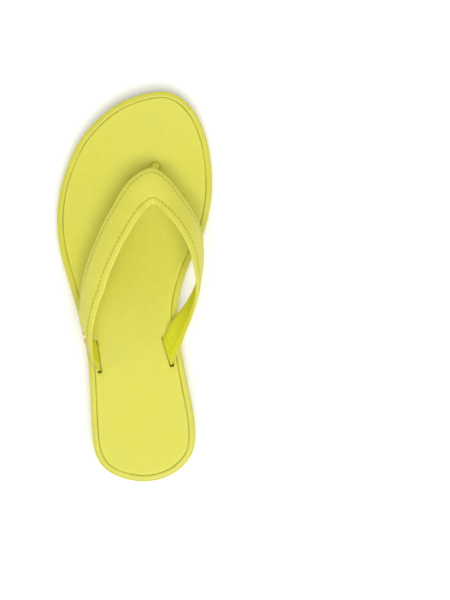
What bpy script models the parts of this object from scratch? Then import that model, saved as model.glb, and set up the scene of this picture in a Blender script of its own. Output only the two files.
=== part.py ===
"""Flip flop: a flat thong sandal for the left foot.

Heel towards -Y, toes towards +Y, big-toe side towards +X, sole on the ground at Z = 0, origin under the
middle of the sole. The sole is a stack of layers that share one outline and one height profile. The
strap is a V-shaped band of three sheets that starts in a slot on each side and meets at the toe post.
Dimensions are in millimetres and are scaled to metres as each mesh is made.
"""
import math

import bmesh
import bpy
from mathutils import Matrix, Vector

MM = 0.001

# ---- Sole -------------------------------------------------------------------------------------------
SOLE_LENGTH = 250.0
SOLE_WIDTH = 98.2
OUTLINE_POINTS = 112
STATION_STEP = 10.0
HEEL_HEIGHT = 18.0
BALL_HEIGHT = 13.0
SLOPE_START = -26.0
SLOPE_END = 44.0
TOE_SPRING_START = 84.0
TOE_SPRING_RISE = 3.0
GAP = 0.3
OUTSOLE_THICKNESS = 3.0
COVER_THICKNESS = 1.2
FOAM_THICKNESS = 2.6
BOARD_THICKNESS = 1.6
WRAP_WALL = 1.2
WRAP_RIM_WIDTH = 3.7
WRAP_RIM_RISE = 0.5
WRAP_RIM_THICKNESS = 1.5
GROOVE_PITCH = 9.0
GROOVE_WIDTH = 2.4
GROOVE_DEPTH = 1.2
GROOVE_MARGIN = 9.0

# Right-hand side of the toe, round the little-toe side, the heel and back along the arch
OUTLINE = (
    (15, 125.4), (-4, 120.8), (-21, 110.3), (-37, 91.6), (-46.6, 66.5), (-49.4, 43), (-46.3, 20),
    (-37.2, -7), (-28.2, -33.5), (-23.7, -56), (-20.6, -87), (-16.9, -109.3), (-6.5, -121), (14, -125.4),
    (33, -119.8), (45.3, -105.4), (45.3, -85), (39.1, -59), (32.8, -31), (31.2, -9), (37, 15), (45.6, 36.5),
    (49.3, 62), (46.2, 89), (38.5, 109.3), (27, 121.6),
)

# Depths below the top of the footbed cover
FOAM_TOP = COVER_THICKNESS + GAP
BOARD_TOP = FOAM_TOP + FOAM_THICKNESS + GAP
BOARD_BOTTOM = BOARD_TOP + BOARD_THICKNESS
MIDSOLE_TOP = BOARD_BOTTOM + GAP

# ---- Strap ------------------------------------------------------------------------------------------
UPPER_THICKNESS = 1.0
TAPE_THICKNESS = 0.4
LINING_THICKNESS = 0.8
STRAP_STEPS_PER_RUNG = 2
STRAP_STEPS_ACROSS = 6
STRAP_START_FRONT = 0.7
STRAP_START_REAR = 0.25
TAPE_START = 0.9
TAPE_MARGIN = 0.16

# Each rung of the band: front edge, rear edge (x, y, height above the footbed) and outward crown
LATERAL_RUNGS = (
    ((-21.1, -36.6, 0.0), (-17.2, -55.7, 0.0), 0.0),
    ((-24.6, -33.2, 5.0), (-20.3, -49.8, 11.0), 0.6),
    ((-28.0, -28.2, 9.0), (-21.1, -40.5, 22.0), 1.1),
    ((-30.6, -19.0, 13.0), (-21.2, -29.5, 28.5), 1.6),
    ((-30.5, -9.0, 16.0), (-18.4, -14.5, 32.0), 1.7),
    ((-29.7, -1.0, 18.5), (-15.1, -4.8, 32.5), 1.6),
    ((-27.4, 12.0, 20.5), (-12.0, 7.0, 33.0), 1.5),
    ((-21.2, 31.0, 22.0), (-4.7, 25.4, 33.5), 1.4),
    ((-12.5, 50.5, 21.5), (4.3, 42.3, 30.5), 1.3),
    ((-3.2, 66.5, 19.0), (9.2, 49.0, 26.5), 1.2),
)
VERTEX_RUNG = ((9.5, 74.8, 17.0), (12.8, 51.6, 25.2), 1.2)
MEDIAL_RUNGS = (
    ((23.2, -31.6, 0.0), (29.3, -49.2, 0.0), 0.0),
    ((25.8, -25.0, 4.0), (33.7, -38.5, 10.5), 0.8),
    ((29.8, -18.5, 7.0), (37.5, -26.5, 20.5), 1.2),
    ((36.2, -9.7, 9.5), (41.4, -14.0, 27.5), 1.3),
    ((41.6, 1.5, 13.5), (43.0, -1.5, 33.0), 1.4),
    ((44.8, 13.0, 17.0), (41.2, 9.8, 35.5), 1.5),
    ((45.1, 26.0, 19.0), (37.6, 22.4, 36.0), 1.5),
    ((43.0, 38.0, 20.5), (33.0, 31.5, 35.5), 1.5),
    ((38.5, 47.2, 21.0), (27.2, 39.5, 34.0), 1.4),
    ((30.6, 58.1, 20.5), (20.7, 45.8, 30.5), 1.3),
    ((20.5, 69.8, 18.5), (16.6, 49.6, 27.0), 1.2),
)
RUNGS = LATERAL_RUNGS + (VERTEX_RUNG,) + MEDIAL_RUNGS[::-1]
VERTEX_INDEX = len(LATERAL_RUNGS)
LAST_RUNG = len(RUNGS) - 1

# ---- Toe post, strap ends and emblem ----------------------------------------------------------------
POST_BASE = (12.8, 77.2)
POST_CORE_RADIUS = 1.4
POST_WRAP_RADIUS = 2.5
POST_WRAP_THICKNESS = 0.7
POST_HOLE_RADIUS = 2.9
POST_JOIN_ACROSS = 0.2
POST_CORE_CLEARANCE = 1.4
POST_WRAP_CLEARANCE = 1.0
WASHER_RADIUS = 6.0
WASHER_THICKNESS = 1.2
TAB_THICKNESS = 2.0
TAB_LENGTH = 16.0
TAB_RISE = 0.4
SLOT_SIDE_CLEARANCE = 0.45
SLOT_END_CLEARANCE = 1.2
TACK_HEAD_RADIUS = 2.2
TACK_HEAD_THICKNESS = 0.6
TACK_SHANK_RADIUS = 0.5
TACK_HOLE_RADIUS = 0.85
TACK_INSET = 9.0
EMBLEM_RUNG = 1.85
EMBLEM_ACROSS = 0.48
EMBLEM_HALF_LENGTH = 5.6
EMBLEM_HALF_WIDTH = 2.7
EMBLEM_HEIGHT = 1.2
EMBLEM_SHANK_RADIUS = 0.45
EMBLEM_HOLE_RADIUS = 1.25
EMBLEM_WASHER_RADIUS = 2.6
EMBLEM_WASHER_THICKNESS = 0.6
ROUND_SIDES = 24
FINE_SIDES = 12
CUT_THROUGH = 30.0

# Colours are linear RGB
LIME = (0.72, 0.70, 0.13)
LIME_DEEP = (0.55, 0.54, 0.08)
FOAM_YELLOW = (0.80, 0.76, 0.42)
BOARD_TAN = (0.42, 0.33, 0.20)
TAPE_WHITE = (0.78, 0.78, 0.74)
METAL_GOLD = (0.80, 0.62, 0.34)
METAL_STEEL = (0.55, 0.55, 0.56)


# ---- Scene, materials and small helpers -------------------------------------------------------------
def clear_scene():
    for item in list(bpy.data.objects):
        bpy.data.objects.remove(item, do_unlink=True)


def new_collection(name):
    collection = bpy.data.collections.new(name)
    bpy.context.scene.collection.children.link(collection)
    return collection


def make_material(name, colour, roughness, metallic=0.0):
    material = bpy.data.materials.new(name)
    material.use_nodes = True
    shader = material.node_tree.nodes["Principled BSDF"]
    shader.inputs["Base Color"].default_value = (*colour, 1.0)
    shader.inputs["Roughness"].default_value = roughness
    shader.inputs["Metallic"].default_value = metallic
    material.diffuse_color = (*colour, 1.0)
    return material


def add_object(name, mesh, collection, colour=None, roughness=0.6, metallic=0.0):
    item = bpy.data.objects.new(name, mesh)
    collection.objects.link(item)
    if colour:
        mesh.materials.append(make_material(name, colour, roughness, metallic))
    return item


def mesh_from_bmesh(name, bm):
    bmesh.ops.recalc_face_normals(bm, faces=bm.faces)
    mesh = bpy.data.meshes.new(name)
    bm.to_mesh(mesh)
    bm.free()
    return mesh


def smooth_shade(item, angle_deg=35.0):
    item.data.shade_smooth()
    item.data.set_sharp_from_angle(angle=math.radians(angle_deg))


def cut(target, cutter):
    modifier = target.modifiers.new(f"cut_{cutter.name}", "BOOLEAN")
    modifier.operation = "DIFFERENCE"
    modifier.solver = "EXACT"
    modifier.object = cutter


def mark_cutter(item):
    item.hide_render = True
    item.display_type = "WIRE"


def catmull_rom(p0, p1, p2, p3, t):
    """Point at t, from 0 to 1, on the smooth curve between p1 and p2."""
    linear = (p2 - p0) * t
    square = (p0 * 2.0 - p1 * 5.0 + p2 * 4.0 - p3) * (t * t)
    cube = (p1 * 3.0 - p0 - p2 * 3.0 + p3) * (t * t * t)
    return (p1 * 2.0 + linear + square + cube) * 0.5


# ---- Sole outline and heights -----------------------------------------------------------------------
def dense_outline(steps=16):
    points = [Vector(point) for point in OUTLINE]
    count = len(points)
    dense = []
    for i in range(count):
        for step in range(steps):
            neighbours = [points[(i + k) % count] for k in (-1, 0, 1, 2)]
            dense.append(catmull_rom(*neighbours, step / steps))
    return dense


def fit_to_size(points):
    """Centre the outline on the origin and give it its exact width and length."""
    low = Vector([min(p[k] for p in points) for k in (0, 1)])
    high = Vector([max(p[k] for p in points) for k in (0, 1)])
    middle = (low + high) / 2
    scale_x = SOLE_WIDTH / (high.x - low.x)
    scale_y = SOLE_LENGTH / (high.y - low.y)
    return [Vector(((p.x - middle.x) * scale_x, (p.y - middle.y) * scale_y)) for p in points]


def spread_evenly(points, count):
    """Resample a closed line at equal distances along it."""
    lengths = [(points[i] - points[i - 1]).length for i in range(len(points))]
    spacing = sum(lengths) / count
    result = [points[-1].copy()]
    walked = 0.0
    for i, length in enumerate(lengths):
        while walked + length >= spacing * len(result) and len(result) < count:
            share = (spacing * len(result) - walked) / length
            result.append(points[i - 1].lerp(points[i], share))
        walked += length
    return result


EDGE = spread_evenly(fit_to_size(dense_outline()), OUTLINE_POINTS)


def outline(inset=0.0):
    """Sole outline, moved inwards by inset; it runs anticlockwise from above."""
    result = []
    for i, point in enumerate(EDGE):
        tangent = (EDGE[(i + 1) % OUTLINE_POINTS] - EDGE[i - 1]).normalized()
        result.append(point + Vector((-tangent.y, tangent.x)) * inset)
    return result


def span_at(y, inset):
    """Lowest and highest x of the outline at y."""
    points = outline(inset)
    crossings = []
    for i, point in enumerate(points):
        before = points[i - 1]
        if (before.y - y) * (point.y - y) < 0:
            share = (y - before.y) / (point.y - before.y)
            crossings.append(before.x + (point.x - before.x) * share)
    return min(crossings), max(crossings)


def toe_spring(y):
    share = max(0.0, y - TOE_SPRING_START) / (SOLE_LENGTH / 2 - TOE_SPRING_START)
    return TOE_SPRING_RISE * share * share


def bed_curve(y):
    share = min(1.0, max(0.0, (y - SLOPE_START) / (SLOPE_END - SLOPE_START)))
    blend = share * share * (3.0 - 2.0 * share)
    return HEEL_HEIGHT + (BALL_HEIGHT - HEEL_HEIGHT) * blend + toe_spring(y)


def in_straight_steps(curve, y):
    """Height of a curve made straight between the stations, so that every layer stays parallel."""
    start = math.floor(y / STATION_STEP) * STATION_STEP
    share = (y - start) / STATION_STEP
    return curve(start) * (1.0 - share) + curve(start + STATION_STEP) * share


def bed_height(y):
    return in_straight_steps(bed_curve, y)


def ground_height(y):
    return in_straight_steps(toe_spring, y)


# ---- Sole layers ------------------------------------------------------------------------------------
def make_layer(name, inset, low, high, collection, colour, roughness):
    """Slab between two heights, each a function of y, inside the sole outline."""
    bm = bmesh.new()
    bm.faces.new([bm.verts.new((p.x, p.y, 0.0)) for p in outline(inset)])
    limit = int(SOLE_LENGTH / 2 / STATION_STEP)
    for station in range(-limit, limit + 1):
        bmesh.ops.bisect_plane(
            bm,
            geom=bm.verts[:] + bm.edges[:] + bm.faces[:],
            plane_co=(0.0, station * STATION_STEP, 0.0),
            plane_no=(0.0, 1.0, 0.0),
        )
    extruded = bmesh.ops.extrude_face_region(bm, geom=bm.faces[:])
    top = {item for item in extruded["geom"] if isinstance(item, bmesh.types.BMVert)}
    for vert in bm.verts:
        height = high if vert in top else low
        vert.co.z = height(vert.co.y)
    bmesh.ops.scale(bm, vec=(MM, MM, MM), verts=bm.verts)
    return add_object(name, mesh_from_bmesh(name, bm), collection, colour, roughness)


def below_bed(depth):
    return lambda y: bed_height(y) - depth


def above_ground(rise):
    return lambda y: ground_height(y) + rise


def make_sole_wrap(collection):
    """Wall round the sole that turns over the top edge as a flat rim."""
    wall_foot = above_ground(OUTSOLE_THICKNESS + GAP)
    rim_top = below_bed(-WRAP_RIM_RISE)
    rim_bottom = below_bed(WRAP_RIM_THICKNESS - WRAP_RIM_RISE)
    corner = 0.6
    section = (
        (0.0, wall_foot),
        (0.0, below_bed(corner - WRAP_RIM_RISE)),
        (corner, rim_top),
        (WRAP_RIM_WIDTH - corner / 2, rim_top),
        (WRAP_RIM_WIDTH, below_bed(corner / 2 - WRAP_RIM_RISE)),
        (WRAP_RIM_WIDTH, rim_bottom),
        (WRAP_WALL, rim_bottom),
        (WRAP_WALL, wall_foot),
    )
    bm = bmesh.new()
    rings = []
    for inset, height in section:
        rings.append([bm.verts.new((p.x, p.y, height(p.y))) for p in outline(inset)])
    for i, ring in enumerate(rings):
        following = rings[(i + 1) % len(rings)]
        for k in range(OUTLINE_POINTS):
            after = (k + 1) % OUTLINE_POINTS
            bm.faces.new((ring[k], ring[after], following[after], following[k]))
    bmesh.ops.scale(bm, vec=(MM, MM, MM), verts=bm.verts)
    wrap = add_object("sole_wrap", mesh_from_bmesh("sole_wrap", bm), collection, LIME, 0.5)
    smooth_shade(wrap, 50.0)


def make_groove_cutter(collection):
    """One bar for each tread groove, across the flat part of the outsole."""
    bm = bmesh.new()
    forefoot = [TOE_SPRING_START - GROOVE_PITCH * k for k in range(9)]
    heel = [-SOLE_LENGTH / 2 + 14.0 + GROOVE_PITCH * k for k in range(8)]
    for y in forefoot + heel:
        low, high = span_at(y, GROOVE_MARGIN)
        size = Matrix.Diagonal((high - low, GROOVE_WIDTH, GROOVE_DEPTH * 2, 1.0))
        bmesh.ops.create_cube(bm, size=1.0, matrix=Matrix.Translation(((low + high) / 2, y, 0.0)) @ size)
    bmesh.ops.scale(bm, vec=(MM, MM, MM), verts=bm.verts)
    cutter = add_object("tread_grooves", mesh_from_bmesh("tread_grooves", bm), collection)
    mark_cutter(cutter)
    return cutter


def make_sole(parts, cutters):
    inner = WRAP_WALL + GAP
    layers = {}
    layers["outsole"] = make_layer(
        "outsole", 0.0, above_ground(0.0), above_ground(OUTSOLE_THICKNESS), parts, LIME_DEEP, 0.7)
    layers["midsole"] = make_layer(
        "midsole", inner, above_ground(OUTSOLE_THICKNESS + GAP), below_bed(MIDSOLE_TOP), parts,
        FOAM_YELLOW, 0.9)
    layers["insole_board"] = make_layer(
        "insole_board", inner, below_bed(BOARD_BOTTOM), below_bed(BOARD_TOP), parts, BOARD_TAN, 0.9)
    layers["footbed_foam"] = make_layer(
        "footbed_foam", inner, below_bed(FOAM_TOP + FOAM_THICKNESS), below_bed(FOAM_TOP), parts,
        FOAM_YELLOW, 0.95)
    layers["footbed_cover"] = make_layer(
        "footbed_cover", WRAP_RIM_WIDTH + GAP, below_bed(COVER_THICKNESS), below_bed(0.0), parts, LIME, 0.6)
    cut(layers["outsole"], make_groove_cutter(cutters))
    make_sole_wrap(parts)
    return layers


# ---- Strap band -------------------------------------------------------------------------------------
def rung_value(u, pick):
    """Smooth value of one entry of the rungs at u, counted in rungs from the lateral slot."""
    start = min(int(u), LAST_RUNG - 1)
    picked = [pick(RUNGS[min(max(start + k, 0), LAST_RUNG)]) for k in (-1, 0, 1, 2)]
    return catmull_rom(*picked, u - start)


def strap_chord(u):
    front = rung_value(u, lambda rung: Vector(rung[0]))
    rear = rung_value(u, lambda rung: Vector(rung[1]))
    return front, rear


def strap_surface(u, v):
    """Middle of the band at u along it and v across it, 0 at the front edge and 1 at the rear."""
    front, rear = strap_chord(u)
    before = sum(strap_chord(max(u - 0.1, 0.0)), Vector((0, 0, 0)))
    after = sum(strap_chord(min(u + 0.1, LAST_RUNG)), Vector((0, 0, 0)))
    outward = (rear - front).cross(after - before).normalized()
    crown = rung_value(u, lambda rung: rung[2]) * 4.0 * v * (1.0 - v)
    point = front.lerp(rear, v) + outward * crown
    point.z += bed_height(point.y)
    return point


def strap_normal(u, v):
    step = 0.05
    along = strap_surface(min(u + step, LAST_RUNG), v) - strap_surface(max(u - step, 0.0), v)
    across = strap_surface(u, min(v + step, 1.0)) - strap_surface(u, max(v - step, 0.0))
    return across.cross(along).normalized()


def make_strap_sheet(name, offset, thickness, starts, margin, collection, colour, roughness):
    """Open grid parallel to the middle of the band, made solid by Solidify.

    starts are the distances from the slots, in rungs, at the front and the rear edge.
    """
    columns = LAST_RUNG * STRAP_STEPS_PER_RUNG
    bm = bmesh.new()
    rows = []
    for i in range(columns + 1):
        row = []
        for k in range(STRAP_STEPS_ACROSS + 1):
            v = margin + (1.0 - 2 * margin) * k / STRAP_STEPS_ACROSS
            start = starts[0] * (1.0 - v) + starts[1] * v
            u = start + (LAST_RUNG - 2 * start) * i / columns
            row.append(bm.verts.new((strap_surface(u, v) + strap_normal(u, v) * offset) * MM))
        rows.append(row)
    for row, following in zip(rows, rows[1:]):
        for k in range(STRAP_STEPS_ACROSS):
            bm.faces.new((row[k], row[k + 1], following[k + 1], following[k]))
    mesh = bpy.data.meshes.new(name)
    bm.to_mesh(mesh)
    bm.free()
    sheet = add_object(name, mesh, collection, colour, roughness)
    solid = sheet.modifiers.new("thickness", "SOLIDIFY")
    solid.thickness = thickness * MM
    solid.offset = 0.0
    smooth_shade(sheet)
    return sheet


def make_strap(parts):
    lining_offset = -(TAPE_THICKNESS + LINING_THICKNESS) / 2 - GAP
    upper_offset = (TAPE_THICKNESS + UPPER_THICKNESS) / 2 + GAP
    starts = (STRAP_START_FRONT, STRAP_START_REAR)
    tape_starts = (TAPE_START, TAPE_START)
    upper = make_strap_sheet(
        "strap_upper", upper_offset, UPPER_THICKNESS, starts, 0.0, parts, LIME, 0.55)
    tape = make_strap_sheet(
        "strap_reinforcement", 0.0, TAPE_THICKNESS, tape_starts, TAPE_MARGIN, parts, TAPE_WHITE, 0.8)
    lining = make_strap_sheet(
        "strap_lining", lining_offset, LINING_THICKNESS, starts, 0.0, parts, LIME_DEEP, 0.7)
    return [upper, tape, lining]


# ---- Round pieces -----------------------------------------------------------------------------------
def make_turned(name, profile, sides, collection, colour, roughness, metallic=0.0):
    """Turn a profile of (radius, height) points, listed from the top down, about local Z."""
    mesh = bpy.data.meshes.new(name)
    vertices = [(radius * MM, 0.0, height * MM) for radius, height in profile]
    edges = [(i, i + 1) for i in range(len(profile) - 1)]
    mesh.from_pydata(vertices, edges, [])
    item = add_object(name, mesh, collection, colour, roughness, metallic)
    screw = item.modifiers.new("turn", "SCREW")
    screw.angle = math.tau
    screw.steps = sides
    screw.render_steps = sides
    screw.use_merge_vertices = True
    screw.merge_threshold = 0.00001
    return item


def place_on_axis(item, position, direction):
    item.location = position * MM
    item.rotation_mode = "QUATERNION"
    item.rotation_quaternion = Vector((0, 0, 1)).rotation_difference(direction)


def lay_along(item, position, along, normal):
    """Turn an item so that its X runs along the band and its Z points out of it."""
    across = normal.cross(along).normalized()
    item.location = position * MM
    item.rotation_mode = "QUATERNION"
    item.rotation_quaternion = Matrix((across.cross(normal), across, normal)).transposed().to_quaternion()


def make_cylinder_cutter(name, radius, length, position, direction, collection):
    bm = bmesh.new()
    bmesh.ops.create_cone(
        bm, cap_ends=True, segments=ROUND_SIDES, radius1=radius * MM, radius2=radius * MM,
        depth=length * MM)
    cutter = add_object(name, mesh_from_bmesh(name, bm), collection)
    place_on_axis(cutter, position, direction)
    mark_cutter(cutter)
    return cutter


def make_box_cutter(name, size, position, heading, collection):
    """Box of size (across, along, up) whose along side points to heading."""
    bm = bmesh.new()
    bmesh.ops.create_cube(bm, size=1.0, matrix=Matrix.Diagonal((*[s * MM for s in size], 1.0)))
    cutter = add_object(name, mesh_from_bmesh(name, bm), collection)
    cutter.location = position * MM
    cutter.rotation_euler.z = math.atan2(heading.y, heading.x) - math.pi / 2
    mark_cutter(cutter)
    return cutter


# ---- Toe post ---------------------------------------------------------------------------------------
def post_path(steps_per_part=6):
    """Smooth line up through the footbed hole that leans back to the underside of the strap tip."""
    base = Vector((*POST_BASE, bed_height(POST_BASE[1])))
    half_strap = TAPE_THICKNESS / 2 + LINING_THICKNESS + GAP
    join = strap_surface(VERTEX_INDEX, POST_JOIN_ACROSS)
    top = join - strap_normal(VERTEX_INDEX, POST_JOIN_ACROSS) * (half_strap + POST_CORE_CLEARANCE)
    lean = base.lerp(top, 0.5) + Vector((0.5, 1.5, 0.0))
    low = base - Vector((0, 0, BOARD_BOTTOM + GAP + WASHER_THICKNESS))
    knee = base + Vector((0, 0, 3.0))
    points = [low * 2 - knee, low, knee, lean, top, top * 2 - lean]
    path = []
    for i in range(len(points) - 3):
        for step in range(steps_per_part):
            path.append(catmull_rom(*points[i:i + 4], step / steps_per_part))
    path.append(top)
    return path


def make_path_mesh(name, path, radius, capped):
    """Round tube along a path, as a mesh; its caps are welded to it."""
    curve = bpy.data.curves.new(name, "CURVE")
    curve.dimensions = "3D"
    curve.bevel_depth = radius * MM
    curve.bevel_resolution = 2
    curve.use_fill_caps = capped
    spline = curve.splines.new("POLY")
    spline.points.add(len(path) - 1)
    for point, place in zip(spline.points, path):
        point.co = (*(place * MM), 1.0)
    guide = bpy.data.objects.new(name, curve)
    bpy.context.scene.collection.objects.link(guide)
    evaluated = guide.evaluated_get(bpy.context.evaluated_depsgraph_get())
    mesh = bpy.data.meshes.new_from_object(evaluated)
    bpy.data.objects.remove(guide, do_unlink=True)
    bm = bmesh.new()
    bm.from_mesh(mesh)
    bmesh.ops.remove_doubles(bm, verts=bm.verts, dist=0.00001)
    if capped:
        bmesh.ops.recalc_face_normals(bm, faces=bm.faces)
    bm.to_mesh(mesh)
    bm.free()
    mesh.name = name
    return mesh


def make_toe_post(parts, cutters, layers):
    washer_top = BOARD_BOTTOM + GAP
    path = post_path()
    core_mesh = make_path_mesh("toe_post_core", path, POST_CORE_RADIUS, True)
    add_object("toe_post_core", core_mesh, parts, TAPE_WHITE, 0.6)

    wrap_foot = bed_height(POST_BASE[1]) - FOAM_TOP
    wrap_head = path[-1].z - POST_WRAP_CLEARANCE
    wrap_path = [point for point in path if wrap_foot <= point.z <= wrap_head]
    wrap_mesh = make_path_mesh("toe_post_wrap", wrap_path, POST_WRAP_RADIUS, False)
    wrap = add_object("toe_post_wrap", wrap_mesh, parts, LIME, 0.55)
    wall = wrap.modifiers.new("wall", "SOLIDIFY")
    wall.thickness = POST_WRAP_THICKNESS * MM
    wall.offset = -1.0
    smooth_shade(wrap)

    bed = bed_height(POST_BASE[1])
    base = Vector((*POST_BASE, bed))
    up = Vector((0, 0, 1))
    inner = POST_CORE_RADIUS + GAP
    washer = make_turned(
        "toe_post_washer",
        ((inner, 0.0), (WASHER_RADIUS, 0.0), (WASHER_RADIUS, -WASHER_THICKNESS),
         (inner, -WASHER_THICKNESS), (inner, 0.0)),
        ROUND_SIDES, parts, TAPE_WHITE, 0.5)
    place_on_axis(washer, base - up * washer_top, up)

    post_hole = make_cylinder_cutter("post_hole", POST_HOLE_RADIUS, CUT_THROUGH, base, up, cutters)
    cut(layers["footbed_cover"], post_hole)
    cut(layers["footbed_foam"], post_hole)
    core_hole = make_cylinder_cutter("core_hole", inner, CUT_THROUGH, base, up, cutters)
    cut(layers["insole_board"], core_hole)
    pocket_floor = washer_top + WASHER_THICKNESS + GAP
    pocket = make_cylinder_cutter(
        "washer_pocket", WASHER_RADIUS + 2 * GAP, CUT_THROUGH,
        base + up * (CUT_THROUGH / 2 - pocket_floor), up, cutters)
    cut(layers["midsole"], pocket)


# ---- Strap ends under the insole board --------------------------------------------------------------
def make_strap_end(side, rungs, inward, parts, cutters, layers):
    """Tab that drops through the slot, turns inwards under the board and is held by one tack."""
    front = Vector(rungs[0][0])
    rear = Vector(rungs[0][1])
    slot = rear - front
    heading = slot.normalized()
    inboard = Vector((heading.y, -heading.x, 0.0)) * inward
    bed = bed_height((front.y + rear.y) / 2)
    bend = bed - BOARD_BOTTOM - GAP - TAB_THICKNESS / 2
    rows = (
        (Vector((0, 0, bed + TAB_RISE)), 0.0),
        (Vector((0, 0, bend)), 0.0),
        (Vector((0, 0, bend)), TAB_LENGTH),
    )
    bm = bmesh.new()
    lines = [[bm.verts.new((edge + lift + inboard * reach) * MM) for edge in (front, rear)]
             for lift, reach in rows]
    for line, following in zip(lines, lines[1:]):
        bm.faces.new((line[0], line[1], following[1], following[0]))
    mesh = bpy.data.meshes.new(f"{side}_strap_tab")
    bm.to_mesh(mesh)
    bm.free()
    tab = add_object(f"{side}_strap_tab", mesh, parts, LIME_DEEP, 0.7)
    solid = tab.modifiers.new("thickness", "SOLIDIFY")
    solid.thickness = TAB_THICKNESS * MM
    solid.offset = 0.0
    solid.use_even_offset = True

    middle = (front + rear) / 2 + Vector((0, 0, bed))
    slot_cutter = make_box_cutter(
        f"{side}_slot",
        (TAB_THICKNESS + 2 * SLOT_SIDE_CLEARANCE, slot.length + 2 * SLOT_END_CLEARANCE, CUT_THROUGH),
        middle, heading, cutters)
    for layer in ("footbed_cover", "footbed_foam", "insole_board"):
        cut(layers[layer], slot_cutter)
    pocket_floor = BOARD_BOTTOM + TAB_THICKNESS + TACK_HEAD_THICKNESS + 3 * GAP
    pocket_reach = TAB_THICKNESS / 2 + TAB_LENGTH + 2 * GAP
    pocket = make_box_cutter(
        f"{side}_pocket", (pocket_reach, slot.length + 3 * GAP, CUT_THROUGH),
        middle + inboard * (pocket_reach / 2 - TAB_THICKNESS / 2 - GAP)
        + Vector((0, 0, CUT_THROUGH / 2 - pocket_floor)), heading, cutters)
    cut(layers["midsole"], pocket)

    tack_top = middle + inboard * TACK_INSET - Vector((0, 0, BOARD_TOP + GAP))
    head_top = -(BOARD_BOTTOM + TAB_THICKNESS + 2 * GAP - BOARD_TOP - GAP)
    head_bottom = head_top - TACK_HEAD_THICKNESS
    tack = make_turned(
        f"{side}_tab_tack",
        ((0.0, 0.0), (TACK_SHANK_RADIUS, 0.0), (TACK_SHANK_RADIUS, head_top),
         (TACK_HEAD_RADIUS, head_top), (TACK_HEAD_RADIUS, head_bottom), (0.0, head_bottom)),
        FINE_SIDES, parts, METAL_STEEL, 0.35, 1.0)
    place_on_axis(tack, tack_top, Vector((0, 0, 1)))
    tack_hole = make_cylinder_cutter(
        f"{side}_tack_hole", TACK_HOLE_RADIUS, CUT_THROUGH, tack_top, Vector((0, 0, 1)), cutters)
    cut(tab, tack_hole)
    cut(layers["insole_board"], tack_hole)


# ---- Emblem stud on the outer side of the strap -----------------------------------------------------
def make_emblem(strap_sheets, parts, cutters):
    """Oval domed stud, riveted through the band to a round washer."""
    place = strap_surface(EMBLEM_RUNG, EMBLEM_ACROSS)
    along = strap_surface(EMBLEM_RUNG + 0.2, EMBLEM_ACROSS) - place
    normal = strap_normal(EMBLEM_RUNG, EMBLEM_ACROSS)
    cap_seat = TAPE_THICKNESS / 2 + UPPER_THICKNESS + 2 * GAP
    washer_seat = -(TAPE_THICKNESS / 2 + LINING_THICKNESS + 3 * GAP)
    washer_back = washer_seat - EMBLEM_WASHER_THICKNESS
    dome = [(EMBLEM_HALF_WIDTH * math.sin(a), cap_seat + EMBLEM_HEIGHT * math.cos(a))
            for a in (k * math.pi / 12 for k in range(7))]
    stud = make_turned(
        "emblem_stud",
        dome + [(EMBLEM_SHANK_RADIUS, cap_seat), (EMBLEM_SHANK_RADIUS, washer_back), (0.0, washer_back)],
        ROUND_SIDES, parts, METAL_GOLD, 0.3, 1.0)
    stud.scale.x = EMBLEM_HALF_LENGTH / EMBLEM_HALF_WIDTH
    lay_along(stud, place, along, normal)
    inner = EMBLEM_HOLE_RADIUS
    washer = make_turned(
        "emblem_washer",
        ((inner, washer_seat), (EMBLEM_WASHER_RADIUS, washer_seat), (EMBLEM_WASHER_RADIUS, washer_back),
         (inner, washer_back), (inner, washer_seat)),
        FINE_SIDES, parts, METAL_GOLD, 0.35, 1.0)
    place_on_axis(washer, place, normal)
    hole = make_cylinder_cutter(
        "emblem_hole", EMBLEM_HOLE_RADIUS, 4 * EMBLEM_HEIGHT, place, normal, cutters)
    for sheet in strap_sheets:
        cut(sheet, hole)
    return [stud, washer]


# ---- Strap hinge ------------------------------------------------------------------------------------
def make_strap_hinge(pieces, collection):
    """Empty on the line through both slots, at footbed level, about which the strap folds."""
    lateral = (Vector(LATERAL_RUNGS[0][0]) + Vector(LATERAL_RUNGS[0][1])) / 2
    medial = (Vector(MEDIAL_RUNGS[0][0]) + Vector(MEDIAL_RUNGS[0][1])) / 2
    middle = (lateral + medial) / 2
    middle.z = bed_height(middle.y)
    hinge = bpy.data.objects.new("strap_hinge", None)
    collection.objects.link(hinge)
    hinge.location = middle * MM
    hinge.rotation_mode = "QUATERNION"
    hinge.rotation_quaternion = Vector((1, 0, 0)).rotation_difference(medial - lateral)
    bpy.context.view_layer.update()
    for piece in pieces:
        piece.parent = hinge
        piece.matrix_parent_inverse = hinge.matrix_world.inverted()


def main():
    clear_scene()
    parts = new_collection("flip_flop")
    cutters = new_collection("cutters")
    layers = make_sole(parts, cutters)
    strap = make_strap(parts)
    make_toe_post(parts, cutters, layers)
    make_strap_end("lateral", LATERAL_RUNGS, -1.0, parts, cutters, layers)
    make_strap_end("medial", MEDIAL_RUNGS, 1.0, parts, cutters, layers)
    emblem = make_emblem(strap, parts, cutters)
    make_strap_hinge(strap + emblem, parts)


main()
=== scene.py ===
"""Looks of the flip flop: leather shells, stitching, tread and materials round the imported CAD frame."""
import math

import bmesh
import bpy
import numpy as np
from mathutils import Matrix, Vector
from mathutils.bvhtree import BVHTree


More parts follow.
